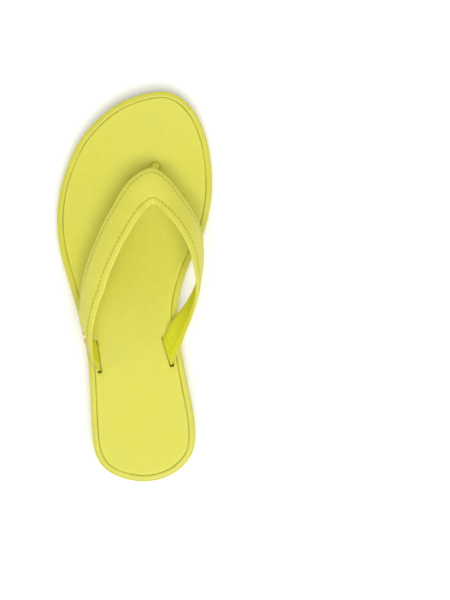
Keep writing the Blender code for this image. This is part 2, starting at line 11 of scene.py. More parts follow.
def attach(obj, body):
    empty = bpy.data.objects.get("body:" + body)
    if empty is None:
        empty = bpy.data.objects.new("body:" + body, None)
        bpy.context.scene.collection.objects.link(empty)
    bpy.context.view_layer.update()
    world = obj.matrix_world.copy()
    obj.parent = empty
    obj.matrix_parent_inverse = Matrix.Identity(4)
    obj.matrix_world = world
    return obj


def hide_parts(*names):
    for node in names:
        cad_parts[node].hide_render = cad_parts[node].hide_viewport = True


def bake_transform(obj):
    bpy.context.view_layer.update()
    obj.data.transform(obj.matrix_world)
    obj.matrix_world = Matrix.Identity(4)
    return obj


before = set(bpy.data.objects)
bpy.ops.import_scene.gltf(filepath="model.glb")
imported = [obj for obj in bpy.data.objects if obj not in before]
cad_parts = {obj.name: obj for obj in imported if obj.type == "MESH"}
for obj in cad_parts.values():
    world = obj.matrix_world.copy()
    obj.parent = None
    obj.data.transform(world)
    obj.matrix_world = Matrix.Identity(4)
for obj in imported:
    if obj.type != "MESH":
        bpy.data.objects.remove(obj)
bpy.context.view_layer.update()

MM = 0.001

# ---- Sizes, in millimetres ----
OUTLINE_POINTS = 600
OUTLINE_SMOOTHING = 2.6
OUTLINE_RAYS = 1440
PROBE_HEIGHT = 9.0
BED_STEP = 2.0
BED_PROBE_SHIFT = 4.0
OUTSOLE_THICKNESS = 3.0
RIM_WIDTH = 3.75
WALL = 1.25
COVER_GAP = 0.1
COVER_THICKNESS = 0.95

# The band's rungs repeat the CAD model's: front edge, rear edge (x, y, height above the footbed), crown
LATERAL_RUNGS = (
    ((-21.1, -36.6, 0.0), (-17.2, -55.7, 0.0), 0.0),
    ((-24.6, -33.2, 5.0), (-20.3, -49.8, 11.0), 0.6),
    ((-28.0, -28.2, 9.0), (-21.1, -40.5, 22.0), 1.1),
    ((-30.6, -19.0, 13.0), (-21.2, -29.5, 28.5), 1.6),
    ((-30.5, -9.0, 16.0), (-18.4, -14.5, 32.0), 1.7),
    ((-29.7, -1.0, 18.5), (-15.1, -4.8, 32.5), 1.6),
    ((-27.4, 12.0, 20.5), (-12.0, 7.0, 33.0), 1.5),
    ((-21.2, 31.0, 22.0), (-4.7, 25.4, 33.5), 1.4),
    ((-12.5, 50.5, 21.5), (4.3, 42.3, 30.5), 1.3),
    ((-3.2, 66.5, 19.0), (9.2, 49.0, 26.5), 1.2),
)
VERTEX_RUNG = ((9.5, 74.8, 17.0), (12.8, 51.6, 25.2), 1.2)
MEDIAL_RUNGS = (
    ((23.2, -31.6, 0.0), (29.3, -49.2, 0.0), 0.0),
    ((25.8, -25.0, 4.0), (33.7, -38.5, 10.5), 0.8),
    ((29.8, -18.5, 7.0), (37.5, -26.5, 20.5), 1.2),
    ((36.2, -9.7, 9.5), (41.4, -14.0, 27.5), 1.3),
    ((41.6, 1.5, 13.5), (43.0, -1.5, 33.0), 1.4),
    ((44.8, 13.0, 17.0), (41.2, 9.8, 35.5), 1.5),
    ((45.1, 26.0, 19.0), (37.6, 22.4, 36.0), 1.5),
    ((43.0, 38.0, 20.5), (33.0, 31.5, 35.5), 1.5),
    ((38.5, 47.2, 21.0), (27.2, 39.5, 34.0), 1.4),
    ((30.6, 58.1, 20.5), (20.7, 45.8, 30.5), 1.3),
    ((20.5, 69.8, 18.5), (16.6, 49.6, 27.0), 1.2),
)
RUNGS = np.array([(*f, *r, c) for f, r, c in LATERAL_RUNGS + (VERTEX_RUNG,) + MEDIAL_RUNGS[::-1]])
VERTEX_INDEX = len(LATERAL_RUNGS)
LAST_RUNG = len(RUNGS) - 1
COLUMNS_PER_RUNG = 30
SLOT_DEPTH = 4.0

POST_BASE = (12.8, 77.2)
POST_RADIUS = 2.5
POST_HOLE_RADIUS = 2.62
# How deep the post's top goes into the band, and how far across the band it meets it, as a share
POST_SINK = 0.5
POST_ACROSS = 0.2
EMBLEM_RUNG = 1.85
EMBLEM_ACROSS = 0.48
EMBLEM_HALF_LENGTH = 5.6
EMBLEM_HALF_WIDTH = 2.6
EMBLEM_SIDES = 56
EMBLEM_LIFT = 0.18
RIVET_RADIUS = 2.6
RIVET_DROP = 0.5

# Colours, linear RGB
LIME = (0.545, 0.527, 0.016)
LIME_LIGHT = (0.615, 0.600, 0.036)
LIME_DEEP = (0.458, 0.440, 0.009)
# The band is the same dyed leather as the footbed; its lime is painted lighter and paler, a painted
# highlight and sheen for the light its tilted faces miss
LIT_BAND_LIME = (0.596, 0.572, 0.040)
LIT_BAND_LIGHT = (0.655, 0.634, 0.065)
LIT_BAND_DEEP = (0.515, 0.492, 0.026)
WRAP_LIME = (0.512, 0.494, 0.015)
WRAP_LIGHT = (0.590, 0.574, 0.032)
WRAP_DEEP = (0.435, 0.418, 0.009)
# The lining is the same lime leather, painted brighter and more saturated: painted bounce light from the
# lime band and footbed around it
LINING_LIME = (0.640, 0.630, 0.020)
LINING_LIGHT = (0.690, 0.680, 0.030)
LINING_DEEP = (0.530, 0.520, 0.012)
RUBBER = (0.520, 0.500, 0.030)
RUBBER_DEEP = (0.400, 0.385, 0.018)


# ---- Mesh helpers ----
def smoothstep(value):
    value = np.clip(value, 0.0, 1.0)
    return value * value * (3.0 - 2.0 * value)


def bell(distance, width):
    return np.exp(-(distance / width) ** 2)


def unit(vectors):
    return vectors / np.linalg.norm(vectors, axis=-1)[..., None]


def catmull_rom(p0, p1, p2, p3, t):
    """Point at t, from 0 to 1, on the smooth curve between p1 and p2."""
    return 0.5 * (2 * p1 + (p2 - p0) * t + (2 * p0 - 5 * p1 + 4 * p2 - p3) * t ** 2
                  + (3 * p1 - p0 - 3 * p2 + p3) * t ** 3)


def store(mesh, name, values):
    """Keep one number for each vertex, for the materials to read."""
    attribute = mesh.attributes.new(name, "FLOAT", "POINT")
    attribute.data.foreach_set("value", np.asarray(values, np.float32))


def store_rest(mesh):
    """Keep the rest position, so that a grain stays on the leather when the piece bends."""
    places = np.zeros(len(mesh.vertices) * 3, np.float32)
    mesh.vertices.foreach_get("co", places)
    attribute = mesh.attributes.new("rest", "FLOAT_VECTOR", "POINT")
    attribute.data.foreach_set("vector", places)


def add_object(name, data):
    item = bpy.data.objects.new(name, data)
    bpy.context.scene.collection.objects.link(item)
    return item


def new_piece(name, mesh, material, sharp_angle):
    item = add_object(name, mesh)
    mesh.materials.append(material)
    mesh.shade_smooth()
    mesh.set_sharp_from_angle(angle=math.radians(sharp_angle))
    store_rest(mesh)
    return item


def mesh_facing_out(name, vertices, faces):
    mesh = bpy.data.meshes.new(name)
    mesh.from_pydata(vertices, [], faces)
    bm = bmesh.new()
    bm.from_mesh(mesh)
    bmesh.ops.recalc_face_normals(bm, faces=bm.faces)
    bm.to_mesh(mesh)
    bm.free()
    return mesh


def grid_faces(rows, columns, base=0, ring=False, capped=False):
    """Faces between closed rows of vertices, numbered from base.

    ring joins the last row to the first, and capped closes both instead.
    """
    faces = []
    for i in range(rows if ring else rows - 1):
        low = base + i * columns
        high = base + (i + 1) % rows * columns
        for k in range(columns):
            beside = (k + 1) % columns
            faces.append((low + k, low + beside, high + beside, high + k))
    if capped:
        faces.append(tuple(range(base, base + columns))[::-1])
        faces.append(tuple(range(base + (rows - 1) * columns, base + rows * columns)))
    return faces


def grid_mesh(name, points, ring=False, capped=False):
    """Mesh of closed rows of points [row, column, xyz], in millimetres."""
    vertices = [tuple(p) for p in points.reshape(-1, 3) * MM]
    return mesh_facing_out(name, vertices, grid_faces(*points.shape[:2], ring=ring, capped=capped))


def apply_cut(item, cutter):
    """Boolean difference, applied at once; the cutter is removed."""
    modifier = item.modifiers.new("cut", "BOOLEAN")
    modifier.operation = "DIFFERENCE"
    modifier.solver = "EXACT"
    modifier.object = cutter
    evaluated = item.evaluated_get(bpy.context.evaluated_depsgraph_get())
    mesh = bpy.data.meshes.new_from_object(evaluated)
    item.modifiers.clear()
    item.data = mesh
    bpy.data.objects.remove(cutter, do_unlink=True)


# ---- Outline and heights, read from the frame ----
def bvh_of(node):
    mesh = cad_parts[node].data
    return BVHTree.FromPolygons([v.co.copy() for v in mesh.vertices], [p.vertices[:] for p in mesh.polygons])


def circular_smooth(points, spread):
    """Gaussian smoothing round a closed line; spread is counted in points."""
    reach = int(math.ceil(spread * 3))
    weights = np.exp(-0.5 * (np.arange(-reach, reach + 1) / spread) ** 2)
    weights /= weights.sum()
    result = np.zeros_like(points)
    for shift, weight in zip(range(-reach, reach + 1), weights):
        result += np.roll(points, shift, axis=0) * weight
    return result


def resample_closed(points, count):
    closed = np.vstack([points, points[:1]])
    lengths = np.concatenate([[0.0], np.cumsum(np.linalg.norm(np.diff(closed, axis=0), axis=1))])
    wanted = np.arange(count) / count * lengths[-1]
    return np.stack([np.interp(wanted, lengths, closed[:, k]) for k in (0, 1)], axis=1)


def read_outline():
    """The sole's outer edge, probed inwards on the wrap's wall from all round."""
    wall = bvh_of("sole_wrap")
    found = []
    for k in range(OUTLINE_RAYS):
        angle = math.tau * k / OUTLINE_RAYS
        outward = Vector((math.cos(angle), math.sin(angle), 0.0))
        start = outward * 0.3 + Vector((0, 0, PROBE_HEIGHT * MM))
        hit = wall.ray_cast(start, -outward)[0]
        found.append((hit.x / MM, hit.y / MM))
    even = resample_closed(np.array(found), OUTLINE_POINTS)
    spacing = np.linalg.norm(even[1] - even[0])
    return resample_closed(circular_smooth(even, OUTLINE_SMOOTHING / spacing), OUTLINE_POINTS)


EDGE = read_outline()
TANGENT = unit(np.roll(EDGE, -1, axis=0) - np.roll(EDGE, 1, axis=0))
INWARD = np.stack([-TANGENT[:, 1], TANGENT[:, 0]], axis=1)
EDGE_LENGTH = np.linalg.norm(EDGE - np.roll(EDGE, 1, axis=0), axis=1).sum()


def outline(inset):
    return EDGE + INWARD * inset


def read_bed():
    """Height of the footbed along the shoe, probed from above near the cover's middle line."""
    cover = bvh_of("footbed_cover")
    ys = np.arange(-116.0, 117.0, BED_STEP)
    heights = []
    for y in ys:
        near = EDGE[np.abs(EDGE[:, 1] - y) < 3.0, 0]
        middle = (near.min() + near.max()) / 2 - BED_PROBE_SHIFT
        hit = cover.ray_cast(Vector((middle * MM, y * MM, 0.2)), Vector((0, 0, -1)))[0]
        heights.append(hit.z / MM)
    heights = np.array(heights)
    padded = np.pad(heights, 6, mode="reflect", reflect_type="odd")
    kernel = np.hanning(9)
    return ys, np.convolve(padded, kernel / kernel.sum(), mode="same")[6:-6]


BED_Y, BED_Z = read_bed()
BALL_HEIGHT = BED_Z.min()
BALL_Y = BED_Y[BED_Z.argmin()]
TIP_SLOPE = (BED_Z[-1] - BED_Z[-4]) / (BED_Y[-1] - BED_Y[-4])


def bed(y):
    y = np.asarray(y, float)
    beyond = np.maximum(0.0, y - BED_Y[-1])
    return np.interp(y, BED_Y, BED_Z) + beyond * TIP_SLOPE


def ground(y):
    """Underside of the sole: flat, then rising under the toes as much as the footbed does."""
    y = np.asarray(y, float)
    return np.where(y > BALL_Y, np.maximum(0.0, bed(y) - BALL_HEIGHT), 0.0)


def distance_to_edge(xy):
    """Distance inwards from the sole's edge, for an array of points."""
    result = np.full(len(xy), 1e9)
    ends = np.roll(EDGE, -1, axis=0) - EDGE
    squares = (ends ** 2).sum(1)
    for first in range(0, len(xy), 2000):
        part = xy[first:first + 2000, None, :] - EDGE[None]
        share = np.clip((part * ends[None]).sum(2) / squares[None], 0.0, 1.0)
        gaps = np.linalg.norm(part - share[..., None] * ends[None], axis=2)
        result[first:first + 2000] = gaps.min(1)
    return result


def distance_to_segment(xy, start, end):
    start = np.array(start, float)
    line = np.array(end, float) - start
    share = np.clip(((xy - start) @ line) / (line @ line), 0.0, 1.0)
    return np.linalg.norm(xy - start - share[:, None] * line, axis=1)


# ---- Strap surface ----
def rung_values(u):
    """Catmull-Rom through the rungs at an array of u; below the slots the band drops straight down."""
    inside = np.clip(u, 0.0, LAST_RUNG)
    start = np.minimum(inside.astype(int), LAST_RUNG - 1)
    t = (inside - start)[:, None]
    values = catmull_rom(*[RUNGS[np.clip(start + k, 0, LAST_RUNG)] for k in (-1, 0, 1, 2)], t)
    below = (np.maximum(0.0, -u) + np.maximum(0.0, u - LAST_RUNG)) * SLOT_DEPTH
    values[:, 2] -= below
    values[:, 5] -= below
    return values


def strap_surface(u, v):
    """Middle of the band for arrays u and v of one shape; v is 0 at the front edge, 1 at the rear."""
    shape = np.broadcast(u, v).shape
    u = np.broadcast_to(u, shape).ravel().astype(float)
    v = np.broadcast_to(v, shape).ravel().astype(float)[:, None]
    here = rung_values(u)
    before = rung_values(u - 0.1)
    after = rung_values(u + 0.1)
    front, rear = here[:, :3], here[:, 3:6]
    along = (after[:, :3] + after[:, 3:6]) - (before[:, :3] + before[:, 3:6])
    outward = unit(np.cross(rear - front, along))
    points = front + (rear - front) * v + outward * (here[:, 6:7] * 4.0 * v * (1.0 - v))
    points[:, 2] += bed(points[:, 1])
    return points.reshape(*shape, 3)


def strap_normal(u, v):
    along = strap_surface(u + 0.05, v) - strap_surface(u - 0.05, v)
    across = strap_surface(u, v + 0.03) - strap_surface(u, v - 0.03)
    return unit(np.cross(across, along))


def strap_width(u):
    values = rung_values(u)
    return np.linalg.norm(values[:, 3:6] - values[:, :3], axis=1)


# ---- Materials ----
class NodeTree:
    """Short way to add and link shader nodes."""

    def __init__(self, name):
        self.material = bpy.data.materials.new(name)
        self.material.use_nodes = True
        self.tree = self.material.node_tree
        self.shader = self.tree.nodes["Principled BSDF"]
        self.rest = self.add("ShaderNodeAttribute", attribute_name="rest")

    def add(self, kind, **settings):
        node = self.tree.nodes.new(kind)
        for key, value in settings.items():
            setattr(node, key, value)
        return node

    def link(self, source, target):
        self.tree.links.new(source, target)

    def noise(self, scale, detail, roughness=0.5, stretch=None):
        node = self.add("ShaderNodeTexNoise")
        node.inputs["Scale"].default_value = scale
        node.inputs["Detail"].default_value = detail
        node.inputs["Roughness"].default_value = roughness
        self.link(self.stretched(stretch), node.inputs["Vector"])
        return node.outputs["Fac"]

    def cells(self, scale, feature="F1", stretch=None):
        node = self.add("ShaderNodeTexVoronoi", feature=feature)
        node.inputs["Scale"].default_value = scale
        self.link(self.stretched(stretch), node.inputs["Vector"])
        return node.outputs["Distance"]

    def stretched(self, stretch):
        if stretch is None:
            return self.rest.outputs["Vector"]
        mapping = self.add("ShaderNodeMapping")
        mapping.inputs["Scale"].default_value = stretch
        self.link(self.rest.outputs["Vector"], mapping.inputs["Vector"])
        return mapping.outputs["Vector"]

    def attribute(self, name):
        return self.add("ShaderNodeAttribute", attribute_name=name).outputs["Fac"]

    def remap(self, value, low, high, to_low, to_high):
        node = self.add("ShaderNodeMapRange")
        for key, number in (("From Min", low), ("From Max", high), ("To Min", to_low), ("To Max", to_high)):
            node.inputs[key].default_value = number
        self.link(value, node.inputs["Value"])
        return node.outputs["Result"]

    def math(self, operation, a, b):
        node = self.add("ShaderNodeMath", operation=operation)
        for k, value in enumerate((a, b)):
            if isinstance(value, (int, float)):
                node.inputs[k].default_value = value
            else:
                self.link(value, node.inputs[k])
        return node.outputs["Value"]

    def mix(self, factor, a, b):
        node = self.add("ShaderNodeMix", data_type="RGBA")
        self.link(factor, node.inputs["Factor"])
        for key, value in ((6, a), (7, b)):
            if isinstance(value, tuple):
                node.inputs[key].default_value = (*value, 1.0)
            else:
                self.link(value, node.inputs[key])
        return node.outputs[2]

    def bump(self, height, strength, distance, normal=None):
        node = self.add("ShaderNodeBump")
        node.inputs["Strength"].default_value = strength
        node.inputs["Distance"].default_value = distance
        self.link(height, node.inputs["Height"])
        if normal is not None:
            self.link(normal, node.inputs["Normal"])
        return node.outputs["Normal"]

    def finish(self, colour, roughness, normal):
        self.link(colour, self.shader.inputs["Base Color"])
        self.link(roughness, self.shader.inputs["Roughness"])
        self.link(normal, self.shader.inputs["Normal"])
        return self.material


def leather(name, base, light, deep, rough, grain=1500.0, grain_depth=0.00010, specular=0.7, sheen=0.05):
    """Matte dyed leather: cloudy dye, pebbled grain, fine pores, lighter, smoother worn edges, and painted
    shade in grooves and creases.
    """
    tree = NodeTree(name)
    cloud = tree.noise(38.0, 4.0, 0.6)
    fine_cloud = tree.noise(210.0, 3.0, 0.55)
    colour = tree.mix(tree.remap(cloud, 0.35, 0.68, 0.0, 1.0), deep, light)
    colour = tree.mix(tree.remap(cloud, 0.2, 0.8, 0.72, 0.9), colour, base)
    colour = tree.mix(tree.remap(fine_cloud, 0.42, 0.75, 0.0, 0.22), colour, deep)
    pebble = tree.cells(grain, "SMOOTH_F1")
    crease = tree.cells(grain * 0.62, "DISTANCE_TO_EDGE")
    pores = tree.cells(grain * 1.9)
    colour = tree.mix(tree.remap(crease, 0.0, 0.10, 0.20, 0.0), colour, deep)
    colour = tree.mix(tree.remap(pores, 0.0, 0.16, 0.30, 0.0), colour, deep)
    roughness = tree.remap(tree.math("ADD", cloud, tree.math("MULTIPLY", pebble, 0.6)), 0.4, 1.1,
                           rough - 0.07, rough + 0.08)
    wear = tree.attribute("wear")
    crevice_shade = tree.attribute("crevice_shade")
    scuffs = tree.remap(tree.noise(520.0, 3.0, 0.6), 0.42, 0.62, 0.35, 1.0)
    colour = tree.mix(tree.math("MULTIPLY", wear, scuffs), colour, light)
    # Painted shade: the crevice mask darkens grooves, needle holes and creases towards a dark lime.
    colour = tree.mix(tree.math("MULTIPLY", crevice_shade, 0.85), colour, tuple(0.5 * c for c in deep))
    roughness = tree.math("SUBTRACT", roughness, tree.math("MULTIPLY", wear, 0.06))
    normal = tree.bump(tree.noise(90.0, 3.0), 0.10, 0.0006)
    normal = tree.bump(crease, 0.35, grain_depth, normal)
    normal = tree.bump(pebble, 0.45, grain_depth, normal)
    normal = tree.bump(tree.noise(grain * 2.2, 2.0), 0.25, grain_depth * 0.6, normal)
    tree.shader.inputs["Specular IOR Level"].default_value = specular
    tree.shader.inputs["Sheen Weight"].default_value = sheen
    tree.shader.inputs["Sheen Roughness"].default_value = 0.45
    tree.shader.inputs["Sheen Tint"].default_value = (1.0, 0.98, 0.75, 1.0)
    return tree.finish(colour, roughness, normal)


def rubber(name):
    """Moulded rubber: faint flow marks, painted shade in the grooves, fine spark-eroded texture."""
    tree = NodeTree(name)
    cloud = tree.noise(30.0, 4.0, 0.6)
    speck = tree.cells(900.0)
    colour = tree.mix(tree.remap(cloud, 0.3, 0.7, 0.0, 1.0), RUBBER, RUBBER_DEEP)
    colour = tree.mix(tree.remap(cloud, 0.2, 0.8, 0.5, 0.8), colour, RUBBER)
    colour = tree.mix(tree.remap(speck, 0.0, 0.12, 0.3, 0.0), colour, RUBBER_DEEP)
    # Painted shade in the tread grooves, from the crevice mask
    colour = tree.mix(tree.math("MULTIPLY", tree.attribute("crevice_shade"), 0.6), colour, RUBBER_DEEP)
    roughness = tree.remap(tree.noise(160.0, 3.0), 0.3, 0.7, 0.55, 0.75)
    normal = tree.bump(tree.noise(2600.0, 2.0), 0.5, 0.00006)
    normal = tree.bump(tree.noise(120.0, 3.0), 0.12, 0.0004, normal)
    tree.shader.inputs["Specular IOR Level"].default_value = 0.45
    return tree.finish(colour, roughness, normal)


def foam(name):
    tree = NodeTree(name)
    cells = tree.cells(2200.0)
    cloud = tree.noise(45.0, 3.0)
    # The foam's olive tones are painted darker and greener than the foam's own colour, so the gaps in the
    # slots read as shaded: painted shade
    colour = tree.mix(tree.remap(cloud, 0.3, 0.7, 0.0, 1.0), (0.50, 0.47, 0.10), (0.58, 0.55, 0.16))
    colour = tree.mix(tree.remap(cells, 0.0, 0.25, 0.35, 0.0), colour, (0.34, 0.31, 0.05))
    roughness = tree.remap(cloud, 0.2, 0.8, 0.82, 0.95)
    return tree.finish(colour, roughness, tree.bump(cells, 0.6, 0.00015))


def fibreboard(name):
    tree = NodeTree(name)
    fibres = tree.noise(900.0, 4.0, 0.65, (0.25, 1.0, 1.0))
    flecks = tree.cells(700.0, stretch=(1.0, 0.3, 1.0))
    colour = tree.mix(tree.remap(fibres, 0.3, 0.7, 0.0, 1.0), (0.30, 0.22, 0.12), (0.46, 0.36, 0.22))
    colour = tree.mix(tree.remap(flecks, 0.0, 0.15, 0.5, 0.0), colour, (0.16, 0.11, 0.06))
    roughness = tree.remap(fibres, 0.2, 0.8, 0.8, 0.95)
    return tree.finish(colour, roughness, tree.bump(fibres, 0.5, 0.0001))


def woven_tape(name):
    """Plain weave: two crossed sets of threads."""
    tree = NodeTree(name)
    threads = []
    for direction in ("X", "Y"):
        wave = tree.add("ShaderNodeTexWave", wave_type="BANDS", bands_direction=direction)
        wave.inputs["Scale"].default_value = 420.0
        wave.inputs["Distortion"].default_value = 0.6
        tree.link(tree.rest.outputs["Vector"], wave.inputs["Vector"])
        threads.append(wave.outputs["Fac"])
    weave = tree.math("MAXIMUM", *threads)
    tone = tree.noise(300.0, 3.0)
    colour = tree.mix(tree.remap(weave, 0.2, 1.0, 0.0, 1.0), (0.50, 0.50, 0.46), (0.80, 0.80, 0.76))
    colour = tree.mix(tree.remap(tone, 0.3, 0.7, 0.0, 0.3), colour, (0.62, 0.61, 0.54))
    roughness = tree.remap(tone, 0.2, 0.8, 0.7, 0.9)
    return tree.finish(colour, roughness, tree.bump(weave, 0.6, 0.0001))


def nylon(name):
    tree = NodeTree(name)
    tone = tree.noise(260.0, 3.0)
    colour = tree.mix(tree.remap(tone, 0.3, 0.7, 0.0, 1.0), (0.66, 0.66, 0.62), (0.78, 0.78, 0.74))
    roughness = tree.remap(tree.noise(900.0, 2.0), 0.3, 0.7, 0.35, 0.5)
    tree.shader.inputs["Specular IOR Level"].default_value = 0.5
    return tree.finish(colour, roughness, tree.bump(tree.noise(1800.0, 2.0), 0.2, 0.00005))


def metal(name, bright, dark, rough):
    """Polished metal with fine brushing and faint tarnish."""
    tree = NodeTree(name)
    tree.shader.inputs["Metallic"].default_value = 1.0
    tarnish = tree.noise(420.0, 4.0, 0.6)
    brushing = tree.noise(5200.0, 2.0, 0.5, (0.12, 1.0, 1.0))
    colour = tree.mix(tree.remap(tarnish, 0.35, 0.7, 0.0, 0.6), bright, dark)
    roughness = tree.remap(brushing, 0.3, 0.7, rough - 0.06, rough + 0.10)
    return tree.finish(colour, roughness, tree.bump(brushing, 0.15, 0.00003))


def thread(name):
    """Twisted polyester thread, a little lighter than the leather."""
    tree = NodeTree(name)
    twist = tree.add("ShaderNodeTexWave", wave_type="BANDS", bands_direction="DIAGONAL")
    twist.inputs["Scale"].default_value = 1500.0
    tree.link(tree.rest.outputs["Vector"], twist.inputs["Vector"])
    colour = tree.mix(tree.remap(twist.outputs["Fac"], 0.1, 0.9, 0.0, 1.0), LIME_DEEP, LIME_LIGHT)
    tone = tree.noise(300.0, 2.0)
    colour = tree.mix(tree.remap(tone, 0.3, 0.7, 0.1, 0.5), colour, LIME)
    roughness = tree.remap(tone, 0.2, 0.8, 0.45, 0.6)
    tree.shader.inputs["Sheen Weight"].default_value = 0.2
    return tree.finish(colour, roughness, tree.bump(twist.outputs["Fac"], 0.5, 0.00006))


UPPER_LEATHER = leather("upper_leather", LIT_BAND_LIME, LIT_BAND_LIGHT, LIT_BAND_DEEP, rough=0.54, specular=0.9,
                        sheen=0.1)
LINING_LEATHER = leather("lining_leather", LINING_LIME, LINING_LIGHT, LINING_DEEP, grain=1900.0, rough=0.66,
                         specular=0.25, sheen=0.0)
FOOTBED_LEATHER = leather("footbed_leather", LIME, LIME_LIGHT, LIME_DEEP, grain=1250.0, rough=0.56,
                          specular=0.8)
WRAP_LEATHER = leather("wrap_leather", WRAP_LIME, WRAP_LIGHT, WRAP_DEEP, grain=1700.0, grain_depth=0.00006,
                       rough=0.44)
OUTSOLE_RUBBER = rubber("outsole_rubber")
FOAM = foam("foam")
FIBREBOARD = fibreboard("fibreboard")
TAPE = woven_tape("woven_tape")
NYLON = nylon("nylon")
GOLD = metal("stud_metal", (0.86, 0.66, 0.40), (0.52, 0.36, 0.20), 0.24)
STEEL = metal("tack_steel", (0.62, 0.62, 0.63), (0.38, 0.38, 0.40), 0.34)
THREAD = thread("thread")


# ---- Sole slabs ----
def flat_sheet(insets, cuts_x, cuts_y, warp=None):
    """Flat bmesh inside the outline: rings at the insets, a filled middle and straight cuts right across.

    warp is a pair of functions: one bends the plane before the cuts, and the other bends it back.
    """
    bm = bmesh.new()
    rings = [[bm.verts.new((x, y, 0.0)) for x, y in outline(inset)] for inset in insets]
    for ring, following in zip(rings, rings[1:]):
        for k in range(OUTLINE_POINTS):
            after = (k + 1) % OUTLINE_POINTS
            bm.faces.new((ring[k], ring[after], following[after], following[k]))
    bm.faces.new(rings[-1])
    if warp:
        for vert in bm.verts:
            vert.co.y = warp[0](vert.co.x, vert.co.y)
    for values, normal in ((cuts_y, (0.0, 1.0, 0.0)), (cuts_x, (1.0, 0.0, 0.0))):
        for value in values:
            place = tuple(value * n for n in normal)
            everything = bm.verts[:] + bm.edges[:] + bm.faces[:]
            bmesh.ops.bisect_plane(bm, geom=everything, plane_co=place, plane_no=normal)
    if warp:
        for vert in bm.verts:
            vert.co.y = warp[1](vert.co.x, vert.co.y)
    return bm


def slab(name, bm, top, bottom, marks):
    """Closed slab from a flat bmesh; top and bottom give heights for (xy, distance from the edge)."""
    extruded = bmesh.ops.extrude_face_region(bm, geom=bm.faces[:])
    upper = {item for item in extruded["geom"] if isinstance(item, bmesh.types.BMVert)}
    bm.verts.ensure_lookup_table()
    xy = np.array([vert.co.xy for vert in bm.verts])
    is_top = np.array([vert in upper for vert in bm.verts])
    depth = distance_to_edge(xy)
    heights = np.where(is_top, top(xy, depth), bottom(xy, depth))
    for vert, height in zip(bm.verts, heights):
        vert.co = (vert.co.x * MM, vert.co.y * MM, height * MM)
    bmesh.ops.recalc_face_normals(bm, faces=bm.faces)
    mesh = bpy.data.meshes.new(name)
    bm.to_mesh(mesh)
    bm.free()
    for mark, function in marks.items():
        store(mesh, mark, function(xy, depth, is_top))
    return mesh


# ---- Outsole ----
WAVE_HEIGHT = 2.2
WAVE_LENGTH = 21.0
TREAD_PITCH = 5.4
TREAD_GROOVE = 2.0
TREAD_DEPTH = 1.2
TREAD_SLOPE = 0.35
TREAD_MARGIN = 6.5
TREAD_BORDER_SLOPE = 0.5
TREAD_ROWS = range(-25, 25)
WAIST_LOW, WAIST_HIGH = -46.0, -4.0
OUTSOLE_ROUNDING = 0.9
TREAD_COLUMNS = np.arange(-48.0, 49.0, 2.0)


def tread_wave(x):
    return WAVE_HEIGHT * math.sin(math.tau * x / WAVE_LENGTH)


def tread_depth(xy, depth):
    """Wavy grooves across the heel and the forefoot, with a plain border and a plain waist."""
    waved = xy[:, 1] - WAVE_HEIGHT * np.sin(math.tau * xy[:, 0] / WAVE_LENGTH)
    phase = np.mod(waved, TREAD_PITCH)
    rise = np.minimum(phase, TREAD_GROOVE - phase) / TREAD_SLOPE
    groove = np.clip(rise, 0.0, 1.0)
    border = np.clip((depth - TREAD_MARGIN) / TREAD_BORDER_SLOPE, 0.0, 1.0)
    waist = (waved > WAIST_LOW) & (waved < WAIST_HIGH)
    return TREAD_DEPTH * groove * border * np.where(waist, 0.0, 1.0)


def make_outsole():
    cuts = []
    for k in TREAD_ROWS:
        start = k * TREAD_PITCH
        cuts += [start, start + TREAD_SLOPE, start + TREAD_GROOVE - TREAD_SLOPE, start + TREAD_GROOVE]
    warp = (lambda x, y: y - tread_wave(x), lambda x, y: y + tread_wave(x))
    insets = (0.0, 0.12, 0.4, OUTSOLE_ROUNDING, 3.5, TREAD_MARGIN, TREAD_MARGIN + TREAD_BORDER_SLOPE)
    bm = flat_sheet(insets, TREAD_COLUMNS, cuts, warp)

    def bottom(xy, depth):
        inner = np.clip(OUTSOLE_ROUNDING - depth, 0.0, OUTSOLE_ROUNDING)
        edge = OUTSOLE_ROUNDING - np.sqrt(OUTSOLE_ROUNDING ** 2 - inner ** 2)
        return ground(xy[:, 1]) + edge + tread_depth(xy, depth)

    def top(xy, depth):
        return ground(xy[:, 1]) + OUTSOLE_THICKNESS

    mesh = slab("outsole_shell", bm, top, bottom, {
        # Painted shade mask: darker the deeper the tread groove
        "crevice_shade": lambda xy, depth, is_top: np.where(is_top, 0.0, tread_depth(xy, depth) / TREAD_DEPTH),
    })
    shell = new_piece("outsole_shell", mesh, OUTSOLE_RUBBER, 35.0)
    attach(shell, "sole")
    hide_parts("outsole")


# ---- Wrap and rim ----
SEAM_PLACE = (32.0, -20.0)
SEAM_WIDTH = 0.8
SHOULDER_RADIUS = 1.15
LIP_RADIUS = 0.45
WALL_BULGE = 0.12


def arc(centre, radius, start_deg, end_deg, steps):
    """Points (inset, height) on an arc."""
    angles = np.radians(np.linspace(start_deg, end_deg, steps))
    return [(centre[0] + radius * math.cos(a), centre[1] + radius * math.sin(a)) for a in angles]


